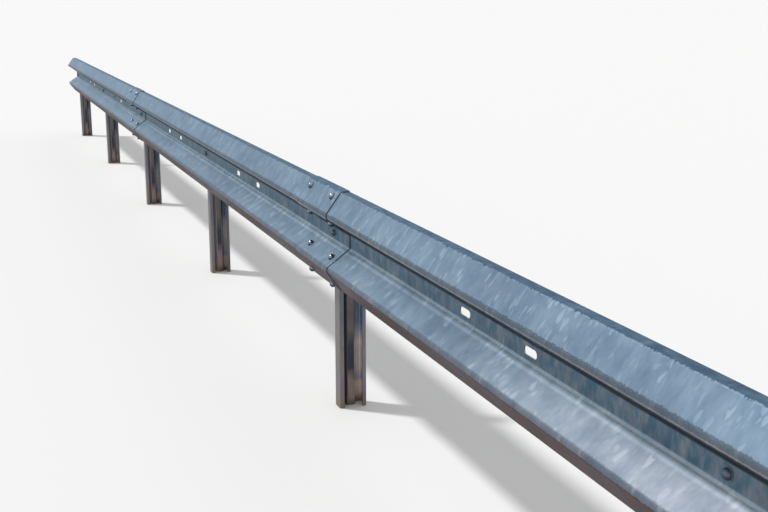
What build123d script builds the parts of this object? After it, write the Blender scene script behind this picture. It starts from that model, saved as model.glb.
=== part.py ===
from math import cos, hypot, radians, sin
import os

from build123d import *

# A roadside guardrail: W-shaped beams of rolled steel sheet on sigma-shaped posts.
# X runs along the rail, the road is on the -Y side and Z is up, in millimetres.
# The origin is the middle of the middle post's foot, where it enters the ground.
os.makedirs("parts", exist_ok=True)

# Layout of the rail
post_spacing = 2000.0
bays_per_beam = 2
beam_count = 3
beam_axis_height = 600.0

# The beam's sheet and the stretch where it laps over the next beam
sheet = 3.0
lap_length = 300.0
lap_gap = 0.3
lap_run_in = 8.0
joggle_length = 40.0

# The back of the beam's sheet, from the flat against the posts out to the two crests
beam_depth = 81.0
crest_spacing = 173.0
crest_radius = 10.5
inner_slope = 54.0
outer_slope = 36.5
valley_radius = 15.0
lip_height = 155.5
lip_length = 27.0
lip_rise = 1.0
lip_radius = 4.5

# Holes in the beam: slots along X in the flat, square ones in the slopes for the necks of the splice bolts
post_hole_length = 26.0
post_hole_height = 18.0
spare_slot_length = 58.0
spare_slot_height = 20.0
spare_slot_places = (1000.0, 2000.0 / 3.0)
splice_hole = 18.0
splice_columns = 220.0
inner_row = 57.0
outer_row = 139.0

# The sigma post: a channel with lips, open towards +X, whose web folds in to the middle plane
post_depth = 95.0
post_width = 55.0
post_sheet = 4.2
post_lip = 15.0
post_corner_radius = 7.0
fold_face = 24.0
fold_foot = 46.0
fold_radius = 5.0
post_above_axis = 85.0
post_slot_length = 36.0
post_slot_width = 18.0

# Worked out from the sizes above
beam_pitch = bays_per_beam * post_spacing
beam_length = beam_pitch + lap_length
rail_length = beam_count * beam_pitch
post_count = beam_count * bays_per_beam + 1
post_face = -post_depth / 2
post_height = beam_axis_height + post_above_axis
lap_shift = sheet + lap_gap
crest_centre = (beam_depth - sheet - crest_radius, crest_spacing / 2)


def crossing(first, second):
    """The point where two lines cross, each given as a point on it and its direction."""
    (ax, ay), (ux, uy) = first
    (bx, by), (vx, vy) = second
    along = ((bx - ax) * vy - (by - ay) * vx) / (ux * vy - uy * vx)
    return ax + along * ux, ay + along * uy


def left_side(start, end, shift):
    """The line through two points, moved to its left by shift, and its unit direction."""
    run = hypot(end[0] - start[0], end[1] - start[1])
    ux, uy = (end[0] - start[0]) / run, (end[1] - start[1]) / run
    return (start[0] - uy * shift, start[1] + ux * shift), (ux, uy)


def side_path(corners, radii, shift):
    """An open path moved to its left by shift with square ends: its corners and their radii."""
    lines = [left_side(start, end, shift) for start, end in zip(corners, corners[1:])]
    moved = [lines[0][0]]
    bends = []
    for before, after, radius in zip(lines, lines[1:], radii):
        turn = before[1][0] * after[1][1] - before[1][1] * after[1][0]
        moved.append(crossing(before, after))
        bends.append(radius - shift if turn > 0 else radius + shift)
    moved.append(left_side(corners[-1], corners[-2], -shift)[0])
    return moved, bends


def sheet_outline(corners, radii, right, left):
    """The closed outline of bent sheet between two shifts of a path, with a radius per corner."""
    near, near_radii = side_path(corners, radii, right)
    far, far_radii = side_path(corners, radii, left)
    return near + far[::-1], [0, *near_radii, 0, 0, *far_radii[::-1], 0]


def crest_tangent(angle, side):
    """The line of a slope on the sheet's back, which touches the upper crest's arc."""
    lean = radians(angle)
    out, up = crest_centre
    return (out + crest_radius * cos(lean), up - side * crest_radius * sin(lean)), (sin(lean), side * cos(lean))


def beam_path():
    """Corners of the sheet's back from the upper lip to the lower, as (out, up), and their radii."""
    inner = crest_tangent(inner_slope, 1)
    outer = crest_tangent(outer_slope, -1)
    rise = radians(lip_rise)
    lip_corner = crossing(outer, ((0.0, lip_height), (-cos(rise), sin(rise))))
    lip_end = (lip_corner[0] - lip_length * cos(rise), lip_corner[1] + lip_length * sin(rise))
    valley = crossing(inner, ((0.0, 0.0), (0.0, 1.0)))
    upper = [lip_end, lip_corner, crossing(inner, outer), valley]
    radii = [lip_radius, crest_radius, valley_radius]
    return upper + [(out, -up) for out, up in upper[::-1]], radii + radii[::-1]


def beam_section(along, shift):
    """The sheet's closed section at one place along the rail, moved towards the road by shift."""
    outline, radii = sheet_outline(*beam_path(), shift, shift + sheet)
    points = [(post_face - out, beam_axis_height + up) for out, up in outline]
    with BuildSketch(Plane.YZ.offset(along)) as section:
        with BuildLine():
            FilletPolyline(*points, radius=radii, close=True)
        make_face()
    return section.sketch


def flank_plane(along, row):
    """A plane square to the slope of the sheet's road side at a height from the beam's middle."""
    front, _ = side_path(*beam_path(), sheet)
    for upper, lower in zip(front[1:-2], front[2:-1]):
        if lower[1] < row <= upper[1]:
            start, (run, climb) = left_side(upper, lower, 0.0)
            out = start[0] + (row - start[1]) * run / climb
            return Plane(
                origin=(along, post_face - out, beam_axis_height + row),
                x_dir=(1, 0, 0),
                z_dir=(0, climb, run),
            )


def make_beam(middle, laps_over_next, name):
    """One beam, two bays long, whose +X end is joggled out where it laps over a next beam."""
    start = middle - beam_length / 2
    end = middle + beam_length / 2
    lap_start = end - lap_length - lap_run_in
    joggle_start = lap_start - joggle_length
    splices = (middle - beam_pitch / 2, middle + beam_pitch / 2)
    with BuildPart() as beam:
        if laps_over_next:
            extrude(beam_section(start, 0.0), joggle_start - start)
            loft([beam_section(joggle_start, 0.0), beam_section(lap_start, lap_shift)], ruled=True)
            extrude(beam_section(lap_start, lap_shift), end - lap_start)
        else:
            extrude(beam_section(start, 0.0), end - start)
        # Holes for the post bolts, and spare slots for posts set closer together
        with BuildSketch(Plane.XZ.offset(-post_face)):
            with Locations(*[(place, beam_axis_height) for place in (*splices, middle)]):
                SlotOverall(post_hole_length, post_hole_height)
            for place in spare_slot_places:
                with Locations((middle - place, beam_axis_height), (middle + place, beam_axis_height)):
                    SlotOverall(spare_slot_length, spare_slot_height)
        extrude(amount=beam_depth, both=True, mode=Mode.SUBTRACT)
        # Splice holes, square to the four slopes at both ends
        for splice in splices:
            for along in (splice - splice_columns / 2, splice + splice_columns / 2):
                for row in (outer_row, inner_row, -inner_row, -outer_row):
                    with BuildSketch(flank_plane(along, row)):
                        Rectangle(splice_hole, splice_hole)
                    extrude(amount=3 * sheet, both=True, mode=Mode.SUBTRACT)
    beam.part.label = name
    export_step(beam.part, f"parts/{name}.step")


def make_post(along, name):
    """One sigma post, from ground level up, with a slot in its front flange for the post bolt."""
    edge = post_width / 2 - post_sheet / 2
    face = post_depth / 2 - post_sheet / 2
    lip = post_depth / 2 - post_lip
    half = [(edge, lip), (edge, face), (-edge, face), (-edge, fold_foot / 2), (0, fold_face / 2)]
    path = [(along + x, y) for x, y in half] + [(along + x, -y) for x, y in half[::-1]]
    corners = [post_corner_radius] * 2
    folds = [fold_radius] * 2
    points, radii = sheet_outline(path, corners + folds * 2 + corners, -post_sheet / 2, post_sheet / 2)
    with BuildPart() as post:
        with BuildSketch():
            with BuildLine():
                FilletPolyline(*points, radius=radii, close=True)
            make_face()
        extrude(amount=post_height)
        with BuildSketch(Plane.XZ.offset(-post_face - post_sheet / 2)):
            with Locations((along, beam_axis_height)):
                SlotOverall(post_slot_length, post_slot_width, rotation=90)
        extrude(amount=post_sheet, both=True, mode=Mode.SUBTRACT)
    post.part.label = name
    export_step(post.part, f"parts/{name}.step")


for beam_number in range(beam_count):
    beam_middle = (beam_number + 0.5) * beam_pitch - rail_length / 2
    make_beam(beam_middle, beam_number < beam_count - 1, f"beam_{beam_number + 1}")

for post_number in range(post_count):
    make_post(post_number * post_spacing - rail_length / 2, f"post_{post_number + 1}")
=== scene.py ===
import logging
import math
from dataclasses import dataclass, field
from enum import Enum
from typing import Any, Sequence

import bpy
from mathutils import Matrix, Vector
from mathutils.bvhtree import BVHTree


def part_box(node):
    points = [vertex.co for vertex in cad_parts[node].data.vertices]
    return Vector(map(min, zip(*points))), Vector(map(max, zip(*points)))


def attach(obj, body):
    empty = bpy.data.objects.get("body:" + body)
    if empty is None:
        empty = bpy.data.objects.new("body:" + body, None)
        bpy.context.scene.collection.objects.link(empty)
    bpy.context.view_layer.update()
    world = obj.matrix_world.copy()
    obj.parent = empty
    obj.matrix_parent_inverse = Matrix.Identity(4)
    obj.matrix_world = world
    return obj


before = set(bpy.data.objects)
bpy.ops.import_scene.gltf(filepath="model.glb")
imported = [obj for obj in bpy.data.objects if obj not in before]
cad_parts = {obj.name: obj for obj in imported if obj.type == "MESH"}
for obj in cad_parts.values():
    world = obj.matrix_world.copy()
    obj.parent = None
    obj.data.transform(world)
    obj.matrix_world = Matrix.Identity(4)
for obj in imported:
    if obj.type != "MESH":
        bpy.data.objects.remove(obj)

# A galvanised roadside guardrail: the beams and posts come from the frame, and this script adds
# their zinc finish, the splice and post bolts, the camera and a plain studio.
# X runs along the rail, the road is on the -Y side and Z is up, in metres.

log = logging.getLogger("guardrail")

Color = tuple[float, float, float]
Span = tuple[float, float]
Stops = tuple[tuple[float, Color], ...]
Socket = bpy.types.NodeSocket

# Sizes and places of the frame's nodes, which the finishes go by
BAY = 2.0
SPLICE = 2.0
LAP_SHIFT = 0.0033
POST_FACE = -0.0475
AXIS_HEIGHT = 0.600

# The way from the road to the rail
ACROSS = Vector((0.0, 1.0, 0.0))

# The record's material slot, which each set of fasteners holds
ZINC_SLOT = "galvanised_beam"


class Graph:
    """Adds nodes to a node tree, so that a finish or a shape reads as a formula.

    Args:
        tree: The shader or geometry tree that the nodes go into.
    """

    def __init__(self, tree: bpy.types.NodeTree) -> None:
        """Keeps the tree."""
        self.tree = tree

    def node(self, kind: str, inputs: dict[Any, Any] | None = None, **settings: Any) -> bpy.types.Node:
        """Adds one node.

        Args:
            kind: The node's type name.
            inputs: Values or sockets for its inputs, by name or by place.
            settings: Properties of the node, such as its operation.

        Returns:
            The new node.
        """
        made = self.tree.nodes.new(kind)
        for name, value in settings.items():
            setattr(made, name, value)
        for key, value in (inputs or {}).items():
            self.feed(made.inputs[key], value)
        return made

    def result(self, kind: str, inputs: dict[Any, Any] | None = None, **settings: Any) -> Socket:
        """Adds one node and returns its first output."""
        return self.node(kind, inputs, **settings).outputs[0]

    def feed(self, socket: Socket, value: Any) -> None:
        """Links a socket into an input, or sets the input's own value.

        Args:
            socket: The input.
            value: A socket to link, or the value to set.
        """
        if isinstance(value, Socket):
            self.tree.links.new(value, socket)
        else:
            socket.default_value = value

    def math(self, operation: str, *values: Any) -> Socket:
        """Adds a Math node and returns its result."""
        return self.result("ShaderNodeMath", dict(enumerate(values)), operation=operation)

    def chain(self, operation: str, values: Sequence[Any]) -> Socket:
        """Joins two or more values by one operation, from the first on.

        Args:
            operation: The Math node's operation.
            values: Numbers or sockets.

        Returns:
            The last result.
        """
        total = values[0]
        for value in values[1:]:
            total = self.math(operation, total, value)
        return total

    def add(self, *values: Any) -> Socket:
        """Adds two or more values."""
        return self.chain("ADD", values)

    def subtract(self, *values: Any) -> Socket:
        """Takes the further values from the first."""
        return self.chain("SUBTRACT", values)

    def product(self, *values: Any) -> Socket:
        """Multiplies two or more values."""
        return self.chain("MULTIPLY", values)

    def divide(self, value: Any, divisor: Any) -> Socket:
        """Divides one value by another."""
        return self.math("DIVIDE", value, divisor)

    def clamp(self, value: Any, low: float, high: float) -> Socket:
        """Keeps a value between two bounds."""
        return self.math("MINIMUM", self.math("MAXIMUM", value, low), high)

    def ramp(self, value: Any, span: Span, smooth: bool = False) -> Socket:
        """Returns 0 to 1 as a value goes over a span, whose end may be the lower one.

        Args:
            value: The value.
            span: The values at 0 and at 1.
            smooth: Whether it starts and ends softly.

        Returns:
            The share, from 0 to 1.
        """
        made = self.node("ShaderNodeMapRange", {"Value": value, "From Min": span[0], "From Max": span[1]})
        made.interpolation_type = "SMOOTHSTEP" if smooth else "LINEAR"
        return made.outputs["Result"]

    def step(self, value: Any, span: Span) -> Socket:
        """Returns a smooth 0 to 1 as a value goes over a span."""
        return self.ramp(value, span, smooth=True)

    def colors(self, position: Any, stops: Stops) -> Socket:
        """Adds a colour ramp and returns its colour.

        Args:
            position: Where on the ramp, from 0 to 1.
            stops: Each stop's place and colour.

        Returns:
            The colour's socket.
        """
        made = self.node("ShaderNodeValToRGB", {"Fac": position})
        while len(made.color_ramp.elements) < len(stops):
            made.color_ramp.elements.new(1.0)
        for element, (place, color) in zip(made.color_ramp.elements, stops):
            element.position = place
            element.color = (*color, 1.0)
        return made.outputs["Color"]

    def mix(self, factor: Any, first: Any, second: Any, blend: str = "MIX") -> Socket:
        """Mixes two colours and returns the result.

        Args:
            factor: How much of the second colour shows, from 0 to 1.
            first: The lower colour, as RGB or a socket.
            second: The upper colour, as RGB or a socket.
            blend: The blend mode.

        Returns:
            The mixed colour's socket.
        """
        made = self.node("ShaderNodeMix", data_type="RGBA", blend_type=blend)
        self.feed(made.inputs["Factor"], factor)
        for name, value in (("A", first), ("B", second)):
            target = [socket for socket in made.inputs if socket.name == name and socket.type == "RGBA"][0]
            self.feed(target, value if isinstance(value, Socket) else (*value, 1.0))
        return [socket for socket in made.outputs if socket.type == "RGBA"][0]

    def tinted(self, color: Any, tint: Any) -> Socket:
        """Multiplies a colour by a tint."""
        return self.mix(1.0, color, tint, "MULTIPLY")


def srgb(red: int, green: int, blue: int) -> Color:
    """Turns a colour written from 0 to 255 into the linear values that a shader takes.

    Args:
        red: The red channel.
        green: The green channel.
        blue: The blue channel.

    Returns:
        The linear channels.
    """
    def linear(value: float) -> float:
        """Undoes the display curve for one channel."""
        return value / 12.92 if value <= 0.04045 else ((value + 0.055) / 1.055) ** 2.4
    return linear(red / 255), linear(green / 255), linear(blue / 255)


@dataclass(frozen=True)
class Cloud:
    """A soft noise around zero.

    Attributes:
        across: Width of its blotches along X.
        along: Their length across the rail.
        detail: How much finer noise there is in them.
        strength: What the noise is multiplied by.
    """

    across: float
    along: float
    detail: float = 2.0
    strength: float = 1.0


@dataclass(frozen=True)
class Leaves:
    """Pale zinc crystals, each from 0 outside it to its own strength.

    Attributes:
        across: Width of a crystal along X.
        along: Its length across the rail.
        share: Share of the cells that show one.
        blur: Softness of its edge.
        strength: What all of them are multiplied by.
        radius: A crystal's radius in its cell.
        ripple: Fineness of the noise that bends its edge.
        detail: How much finer noise there is in that.
        fade: Share of the cells that show one faintly.
        weakest: Least strength of a crystal beside the others.
    """

    across: float
    along: float
    share: float
    blur: float
    strength: float = 1.0
    radius: float = 0.42
    ripple: float = 1.3
    detail: float = 2.0
    fade: float = 0.15
    weakest: float = 0.4


@dataclass(frozen=True)
class Tint:
    """A tint that follows a noise.

    Attributes:
        span: The noise's values at the dark end and at the pale one.
        dark: Tint at the dark end.
        pale: Tint at the pale end.
    """

    span: Span
    dark: Color
    pale: Color

    def over(self, graph: Graph, color: Any, noise: Socket) -> Socket:
        """Returns a colour with the tint over it."""
        return graph.tinted(color, graph.mix(graph.ramp(noise, self.span), self.dark, self.pale))


@dataclass(frozen=True)
class Relief:
    """A finish's fine relief.

    Attributes:
        strength: Strength of the bump.
        depth: Its depth in metres.
    """

    strength: float
    depth: float


@dataclass(frozen=True)
class Surface:
    """The values that every finish is worked out from.

    Attributes:
        graph: The material's graph.
        place: Object coordinates, which are the rail's own frame.
        spot: Parts of the object coordinates.
        normal: Parts of the surface's normal.
    """

    graph: Graph
    place: Socket
    spot: Any
    normal: Any

    @classmethod
    def of(cls, graph: Graph) -> "Surface":
        """Adds the nodes that read the surface.

        Args:
            graph: The material's graph.

        Returns:
            The surface's values.
        """
        place = graph.node("ShaderNodeTexCoord").outputs["Object"]
        spot = graph.node("ShaderNodeSeparateXYZ", {0: place}).outputs
        facing = graph.node("ShaderNodeNewGeometry").outputs["Normal"]
        return cls(graph, place, spot, graph.node("ShaderNodeSeparateXYZ", {0: facing}).outputs)

    def stretched(self, size: Cloud | Leaves) -> Socket:
        """Scales the coordinates, so that one unit is a width along X and a length across the rail."""
        scale = (1 / size.across, 1 / size.along, 1 / size.along)
        return self.graph.result("ShaderNodeVectorMath", {0: self.place, 1: scale}, operation="MULTIPLY")

    def cloud(self, size: Cloud) -> Socket:
        """Adds a soft noise.

        Args:
            size: The noise's sizes.

        Returns:
            Its value, on both sides of zero.
        """
        inputs = {"Vector": self.stretched(size), "Scale": 1.0, "Detail": size.detail}
        noise = self.graph.node("ShaderNodeTexNoise", inputs).outputs["Fac"]
        return self.graph.product(self.graph.subtract(noise, 0.5), size.strength)

    def leaves(self, size: Leaves) -> Socket:
        """Scatters pale zinc crystals.

        Args:
            size: The crystals' sizes.

        Returns:
            Each crystal's strength.
        """
        graph = self.graph
        grid = self.stretched(size)
        inputs = {"Vector": grid, "Scale": size.ripple, "Detail": size.detail}
        noise = graph.node("ShaderNodeTexNoise", inputs).outputs["Color"]
        moved = graph.result("ShaderNodeVectorMath", {0: grid, 1: noise}, operation="ADD")
        cells = graph.node("ShaderNodeTexVoronoi", {"Vector": moved, "Scale": 1.0}).outputs
        random = graph.node("ShaderNodeSeparateColor", {0: cells["Color"]}).outputs
        shape = graph.step(cells["Distance"], (size.radius + size.blur, size.radius - size.blur))
        shown = graph.step(random[0], (1.0 - size.share, 1.0 - size.share + size.fade))
        strong = graph.add(graph.product(random[1], 1.0 - size.weakest), size.weakest)
        return graph.product(shape, shown, strong, size.strength)


class Zinc:
    """A new zinc material, with the surface's values to work its finish out from.

    Args:
        name: The material's name.
        metallic: Share of the metal reflection.
        edge: Tint of the reflection at a grazing angle.

    Attributes:
        gloss: Specular level of all the zinc.
    """

    gloss: float = 0.25

    def __init__(self, name: str, metallic: float, edge: Color) -> None:
        """Adds the material and sets what is the same all over it."""
        self.made = bpy.data.materials.new(name)
        self.made.use_nodes = True
        self.inputs = self.made.node_tree.nodes["Principled BSDF"].inputs
        self.inputs["Metallic"].default_value = metallic
        self.inputs["Specular IOR Level"].default_value = self.gloss
        self.inputs["Specular Tint"].default_value = (*edge, 1.0)
        self.surface = Surface.of(Graph(self.made.node_tree))

    def finished(self, color: Socket, rough: Socket, height: Socket, relief: Relief) -> bpy.types.Material:
        """Feeds the shader.

        Args:
            color: The base colour.
            rough: The roughness.
            height: The height of the relief.
            relief: The relief's strength and depth.

        Returns:
            The material.
        """
        graph = self.surface.graph
        sizes = {"Strength": relief.strength, "Distance": relief.depth, "Height": height}
        bump = graph.node("ShaderNodeBump", sizes).outputs["Normal"]
        for name, value in (("Base Color", color), ("Roughness", rough), ("Normal", bump)):
            graph.feed(self.inputs[name], value)
        return self.made


@dataclass
class Zones:
    """The parts of a piece that have a colour of their own, each as a share from 0 to 1.

    A span holds the values where a part begins and from where it is whole.

    Attributes:
        surface: The surface's values.
    """

    surface: Surface

    @property
    def graph(self) -> Graph:
        """The material's graph."""
        return self.surface.graph

    def facing(self, axis: str, span: Span) -> Socket:
        """Returns the share of the faces by their normal's part along an axis."""
        return self.graph.step(self.surface.normal[axis], span)

    def placed(self, axis: str, span: Span) -> Socket:
        """Returns the share of the places along an axis."""
        return self.graph.step(self.surface.spot[axis], span)


@dataclass
class BeamZones(Zones):
    """The parts of the W.

    Depths count from the posts' face towards the road and heights from the beam's axis. A slope
    is the upward part of the surface's normal.

    Attributes:
        jag: Fine noise that breaks up the borders.
        flakes: The crystals, which hold the lips' film back.
        lap: Distance from a splice where the outer beam stands off by the lap's shift.
        crest_depth: Depth of the crests, whose borders are ragged.
        crest_jag: How far the noise moves those borders.
        band_slope: Slope of the faces that the painted bands spread over.
        band_jag: How far the noise moves the bands' borders.
        upper_band: Depth of the painted reflection over the upper crest's edge.
        lower_band: Depth of the painted reflection over the lower crest's edge.
        lip_band: Height of the painted reflection below the lips.
        lip_jag: How far the noise moves that band's border.
        lip_flakes: How far the crystals move it.
        lip_slope: Slope of the lips' own faces.
        lip_height: Height of the lips.
        valley_depth: Depth of the valley's flat.
        valley_top: Slope where the flat ends above.
        valley_bottom: Slope where the flat ends below.
        shade_depth: Depth of the shaded bend above the flat.
        shade_slope: Its slope.
        bend_depth: Depth of the bend below the flat, which is painted pale.
        bend_slope: Its slope.
        flank_slope: Slope of the lower flank.
        shadow_lift_depth: Depth of the strip at the flank's top where painted light lifts the crest's shadow.
        glare_run: Place along X where the painted sun glare on the flank grows.
        highlight_depth: Depth of the thin painted highlight along the bend.
        highlight_slope: Its slope.
        back_turn: The normal's part along Y on the side away from the road.
        out: The point's own depth.
        height: The point's own height.
        above: 1 above the axis and 0 below it.
        below: 1 below the axis and 0 above it.
        upward: Share of the faces that the painted bands spread over.
        flat: Share of the valley's depth.
    """

    jag: Socket
    flakes: Socket
    lap: Span = (0.19, 0.15)
    crest_depth: Span = (0.0745, 0.0785)
    crest_jag: float = 0.5
    band_slope: Span = (0.40, 0.50)
    band_jag: float = 0.007
    upper_band: Span = (0.0764, 0.0788)
    lower_band: Span = (0.0742, 0.0768)
    lip_band: Span = (0.1570, 0.1586)
    lip_jag: float = 0.018
    lip_flakes: float = 0.0045
    lip_slope: Span = (0.95, 0.995)
    lip_height: Span = (0.145, 0.150)
    valley_depth: Span = (0.026, 0.018)
    valley_top: Span = (-0.60, -0.10)
    valley_bottom: Span = (0.50, 0.20)
    shade_depth: Span = (0.030, 0.024)
    shade_slope: Span = (-0.08, -0.40)
    bend_depth: Span = (0.030, 0.012)
    bend_slope: Span = (0.20, 0.55)
    flank_slope: Span = (0.60, 0.78)
    shadow_lift_depth: Span = (0.0150, 0.0090)
    glare_run: Span = (2.7, 4.9)
    highlight_depth: Span = (0.0090, 0.0070)
    highlight_slope: Span = (0.66, 0.78)
    back_turn: Span = (-0.02, 0.10)
    out: Socket = field(init=False)
    height: Socket = field(init=False)
    above: Socket = field(init=False)
    below: Socket = field(init=False)
    upward: Socket = field(init=False)
    flat: Socket = field(init=False)

    def __post_init__(self) -> None:
        """Works out where a point lies on the W."""
        graph, spot = self.graph, self.surface.spot
        from_splice = graph.math("ABSOLUTE", graph.subtract(graph.math("ABSOLUTE", spot["X"]), SPLICE))
        shift = graph.product(graph.step(from_splice, self.lap), LAP_SHIFT)
        self.out = graph.subtract(POST_FACE, spot["Y"], shift)
        self.height = graph.subtract(spot["Z"], AXIS_HEIGHT)
        self.above = graph.math("GREATER_THAN", self.height, 0.0)
        self.below = graph.subtract(1.0, self.above)
        self.upward = self.sloped(self.band_slope)
        self.flat = self.deep(self.valley_depth)

    def sloped(self, span: Span) -> Socket:
        """Returns the share of the faces with a slope."""
        return self.facing("Z", span)

    def deep(self, span: Span) -> Socket:
        """Returns the share of the places at a depth."""
        return self.graph.step(self.out, span)

    def ragged_slope(self) -> Socket:
        """Returns the slope, with noise on it where the crests' borders are ragged."""
        ragged = self.graph.product(self.deep(self.crest_depth), self.jag, self.crest_jag)
        return self.graph.add(self.surface.normal["Z"], ragged)

    def painted_band(self, half: Socket, depth: Span) -> Socket:
        """Returns a band of painted reflection over a crest's upper edge.

        Args:
            half: The half of the beam that the crest is on.
            depth: The band's depth.

        Returns:
            The band's share.
        """
        moved = self.graph.add(self.out, self.graph.product(self.jag, self.band_jag))
        return self.graph.product(half, self.upward, self.graph.step(moved, depth))

    def lips(self) -> Socket:
        """Returns the lips' faces and the band of painted reflection that hangs from them.

        Returns:
            Their share.
        """
        graph = self.graph
        raised = graph.add(self.height, graph.product(self.jag, self.lip_jag))
        raised = graph.subtract(raised, graph.product(self.flakes, self.lip_flakes))
        painted_band = graph.product(graph.step(raised, self.lip_band), self.upward)
        faces = graph.product(self.sloped(self.lip_slope), graph.step(self.height, self.lip_height))
        return graph.math("MAXIMUM", painted_band, faces)

    def valley(self) -> Socket:
        """Returns the flat against the posts."""
        return self.graph.product(self.flat, self.sloped(self.valley_bottom), self.sloped(self.valley_top))

    def shade(self) -> Socket:
        """Returns the shaded bend above the flat."""
        return self.graph.product(self.above, self.deep(self.shade_depth), self.sloped(self.shade_slope))

    def bend(self) -> Socket:
        """Returns the bend below the flat, where painted light lifts the shade."""
        turned = self.graph.product(self.flat, self.below, self.sloped(self.bend_slope))
        return self.graph.product(turned, self.deep(self.bend_depth))

    def shadow_lift(self) -> Socket:
        """Returns the strip at the lower flank's top where painted light lifts the upper crest's shadow."""
        return self.graph.product(self.below, self.sloped(self.flank_slope), self.deep(self.shadow_lift_depth))

    def glare(self) -> Socket:
        """Returns the painted sun glare on the lower flank, at the +X end."""
        return self.graph.product(self.below, self.sloped(self.flank_slope), self.placed("X", self.glare_run))

    def line(self) -> Socket:
        """Returns the thin painted highlight along the bend."""
        return self.graph.product(self.below, self.sloped(self.highlight_slope), self.deep(self.highlight_depth))

    def back(self) -> Socket:
        """Returns the side away from the road."""
        return self.facing("Y", self.back_turn)


@dataclass(frozen=True)
class BeamFinish:
    """The beams' hot-dip zinc, with reflections, shade and highlights painted on each face of the W.

    Attributes:
        name: The material's name.
        lip: Colour of the lips' upward faces, a painted reflection.
        upper_flank: Colour of the slope above the upper crest, the zinc's grey with a painted reflection of
            the sky.
        lower_flank: Colour of the slope above the lower crest, the zinc's grey with a painted reflection of
            the sky.
        upper_crest: Colour of the upper crest's band, a painted reflection.
        lower_crest: Colour of the lower crest's band, a painted reflection.
        upper_under: Colour of the face under the upper crest, a painted reflection of the ground.
        lower_under: Colour of the face under the lower crest, a painted reflection of the ground.
        painted_shade: Colour of the slope that overhangs the valley, painted shade.
        valley: Colour of the flat against the posts.
        bend: Colour of the bend under it, painted light that lifts its shade.
        rim: Colour of the thin painted highlight along that bend.
        glare: Colour of the painted sun glare on the slope under it, at one end.
        back: Colour of the side away from the road.
        plain_tint: Tint beside that strip.
        lift_tint: Tint of the strip, painted light against the upper crest's shadow.
        edge: Tint at a grazing angle.
        metallic: Share of the metal reflection.
        roughness: Middle roughness.
        shade_strength: Strength of the shade above the valley.
        glare_strength: Strength of the painted glare.
        highlight_strength: Strength of the painted highlight.
        jag: Noise that breaks up the borders.
        large_leaves: The larger crystals.
        small_leaves: The smaller crystals between them.
        soft_leaves: The softer crystals of the lower flank.
        soft_from: Slope from where the soft crystals show.
        soft_to: Slope up to where they show.
        soft_strength: How far they take the sharp ones' place.
        ground: Blotches under the crystals.
        grain: Finer blotches.
        flake_tone: How much the crystals lighten the zinc.
        spangle: Tint of blotches and crystals together.
        haze: Large, faint clouds.
        haze_tint: Their tint.
        patches: Clouds on the lips.
        patch_tint: Their tint.
        stains: Clouds in the valley.
        stain_tint: Their tint.
        flake_roughness: How much the crystals roughen the zinc.
        haze_roughness: How much the haze does.
        pores: The finest relief.
        relief: Strength and depth of the relief.
    """

    name: str = "galvanised_sheet"
    lip: Color = srgb(76, 100, 120)
    upper_flank: Color = srgb(122, 142, 160)
    lower_flank: Color = srgb(122, 141, 158)
    upper_crest: Color = srgb(94, 106, 117)
    lower_crest: Color = srgb(106, 116, 128)
    upper_under: Color = srgb(146, 140, 140)
    lower_under: Color = srgb(74, 46, 34)
    painted_shade: Color = srgb(26, 30, 36)
    valley: Color = srgb(98, 117, 131)
    bend: Color = srgb(158, 180, 196)
    rim: Color = srgb(224, 220, 212)
    glare: Color = srgb(232, 208, 200)
    back: Color = srgb(134, 144, 154)
    plain_tint: Color = (1.0, 1.0, 1.0)
    lift_tint: Color = (1.36, 1.34, 1.31)
    edge: Color = (0.50, 0.60, 0.70)
    metallic: float = 0.60
    roughness: float = 0.46
    shade_strength: float = 0.8
    glare_strength: float = 0.24
    highlight_strength: float = 0.6
    jag: Cloud = Cloud(0.006, 0.018)
    large_leaves: Leaves = Leaves(0.0135, 0.036, 0.34, 0.035, 0.85)
    small_leaves: Leaves = Leaves(0.0075, 0.021, 0.28, 0.06, 0.40)
    soft_leaves: Leaves = Leaves(0.021, 0.032, 0.40, 0.20)
    soft_from: Span = (0.66, 0.74)
    soft_to: Span = (0.94, 0.86)
    soft_strength: float = 0.80
    ground: Cloud = Cloud(0.040, 0.070, 3.0, 0.8)
    grain: Cloud = Cloud(0.008, 0.018, 2.0, 0.28)
    flake_tone: float = 0.55
    spangle: Tint = Tint((-0.22, 0.48), (0.71, 0.77, 0.83), (1.45, 1.37, 1.31))
    haze: Cloud = Cloud(0.30, 0.16, 3.0)
    haze_tint: Tint = Tint((-0.20, 0.20), (0.90, 0.91, 0.93), (1.10, 1.09, 1.07))
    patches: Cloud = Cloud(0.050, 0.018, 3.0)
    patch_tint: Tint = Tint((-0.13, 0.15), (0.72, 0.76, 0.84), (1.34, 1.30, 1.22))
    stains: Cloud = Cloud(0.026, 0.044, 3.0)
    stain_tint: Tint = Tint((-0.13, 0.13), (0.66, 0.85, 0.93), (1.46, 1.20, 1.09))
    flake_roughness: float = 0.10
    haze_roughness: float = 0.20
    pores: Cloud = Cloud(0.0026, 0.0026, 2.0, 0.4)
    relief: Relief = Relief(0.10, 0.0006)

    def material(self) -> bpy.types.Material:
        """Builds the material.

        Returns:
            The new material.
        """
        zinc = Zinc(self.name, self.metallic, self.edge)
        surface, graph = zinc.surface, zinc.surface.graph
        flakes = self.crystals(surface)
        haze = surface.cloud(self.haze)
        blotches = graph.add(surface.cloud(self.ground), surface.cloud(self.grain))
        tone = graph.add(blotches, graph.product(flakes, self.flake_tone))
        color = self.face_color(BeamZones(surface, surface.cloud(self.jag), flakes))
        color = self.spangle.over(graph, color, tone)
        color = self.haze_tint.over(graph, color, haze)
        rough = graph.add(graph.product(flakes, self.flake_roughness), self.roughness)
        rough = graph.add(rough, graph.product(haze, self.haze_roughness))
        return zinc.finished(color, rough, graph.add(flakes, surface.cloud(self.pores)), self.relief)

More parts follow.
